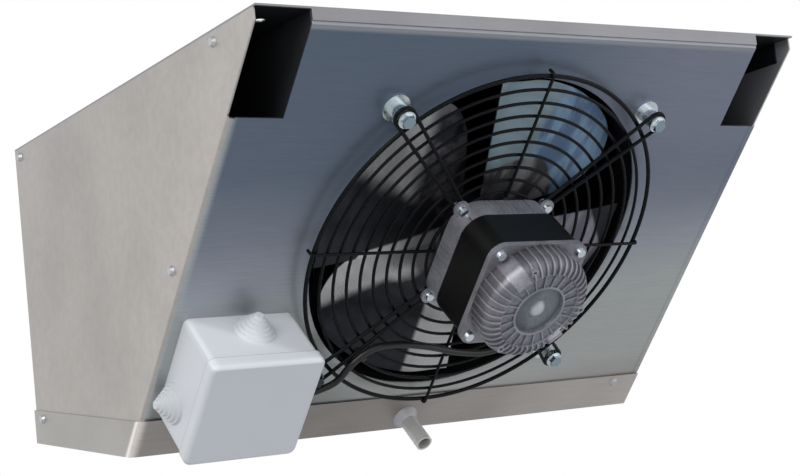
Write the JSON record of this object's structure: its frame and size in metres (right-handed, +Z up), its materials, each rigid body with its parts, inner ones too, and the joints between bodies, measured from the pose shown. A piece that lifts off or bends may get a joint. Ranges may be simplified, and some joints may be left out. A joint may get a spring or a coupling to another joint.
{
  "type": "ceiling-hung evaporator unit of a refrigeration split system",
  "caption": "Wedge-shaped ceiling-hung air cooler with a sloped fan front, wire guard, finned coil, drip tray with drain spigot and a cable junction box.",
  "frame": {"origin": "centre of the rectangle of the four ceiling bolt holes, on the ceiling panel's top face", "axes": "+Z up towards the ceiling, +X to the right seen from the fan side, +Y towards the coil's open back; the sloped fan front faces -Y and down"},
  "size_m": [0.5386, 0.5165, 0.3212],
  "materials": {
    "casing_sheet": "horizontally brushed light grey sheet",
    "zinc_steel": "bright zinc plated",
    "black_steel": "semi-gloss black",
    "blade_aluminium": "rolled sheet, satin",
    "fin_aluminium": "thin plain fins",
    "copper_tube": "plain drawn copper",
    "cast_aluminium": "as cast",
    "lamination_steel": "black paint over laminations",
    "bright_steel": "ground",
    "bronze": "sintered",
    "winding_copper": "varnished wire",
    "box_plastic": "light grey moulded",
    "grey_rubber": "soft moulded",
    "black_rubber": "smooth jacket",
    "black_plastic": "moulded",
    "white_plastic": "moulded"
  },
  "bodies": {
    "housing": {"air_baffle_left": "casing_sheet", "air_baffle_right": "casing_sheet", "arm_nuts": "zinc_steel", "arm_screws": "zinc_steel", "baffle_brackets": "casing_sheet", "box_screws": "zinc_steel", "cable_gland": "black_rubber", "cable_grommets": "grey_rubber", "cable_tie": "black_plastic", "casing_wrap": "casing_sheet", "coil_end_plate_left": "casing_sheet", "coil_end_plate_right": "casing_sheet", "coil_fins": "fin_aluminium", "coil_tubes": "copper_tube", "drain_spigot": "casing_sheet", "drip_tray": "casing_sheet", "fan_guard": "black_steel", "fan_ring": "black_steel", "guard_bolts": "zinc_steel", "guard_nuts": "zinc_steel", "guard_spacers": "zinc_steel", "guard_washers": "zinc_steel", "junction_box_base": "box_plastic", "liquid_pipe": "copper_tube", "motor_arms": "black_steel", "motor_cable": "black_rubber", "motor_front_shield": "cast_aluminium", "motor_rear_shield": "cast_aluminium", "motor_screws": "zinc_steel", "motor_stator": "lamination_steel", "motor_windings": "winding_copper", "pipe_grommets": "black_rubber", "return_bends": "copper_tube", "shaft_bushes": "bronze", "side_screws": "zinc_steel", "suction_pipe": "copper_tube", "terminal_block": "white_plastic", "terminal_screws": "zinc_steel", "top_panel": "casing_sheet", "tray_screws": "zinc_steel"},
    "fan_rotor": {"rotor_shaft": "bright_steel", "rotor_core": "bright_steel", "impeller_hub": "black_steel", "impeller_blades": "blade_aluminium", "fan_nut": "zinc_steel"},
    "box_lid": {"junction_box_lid": "box_plastic"}
  },
  "joints": [
    {"name": "fan_spin", "type": "hinge", "parent": "housing", "child": "fan_rotor", "pos_m": [0, -0.10992, -0.15024], "axis": [0, -0.715, -0.6991], "continuous": true},
    {"name": "box_lid_lift", "type": "slide", "parent": "housing", "child": "box_lid", "axis": [0, -0.715, -0.6991], "range_m": [0, 0.03]}
  ]
}
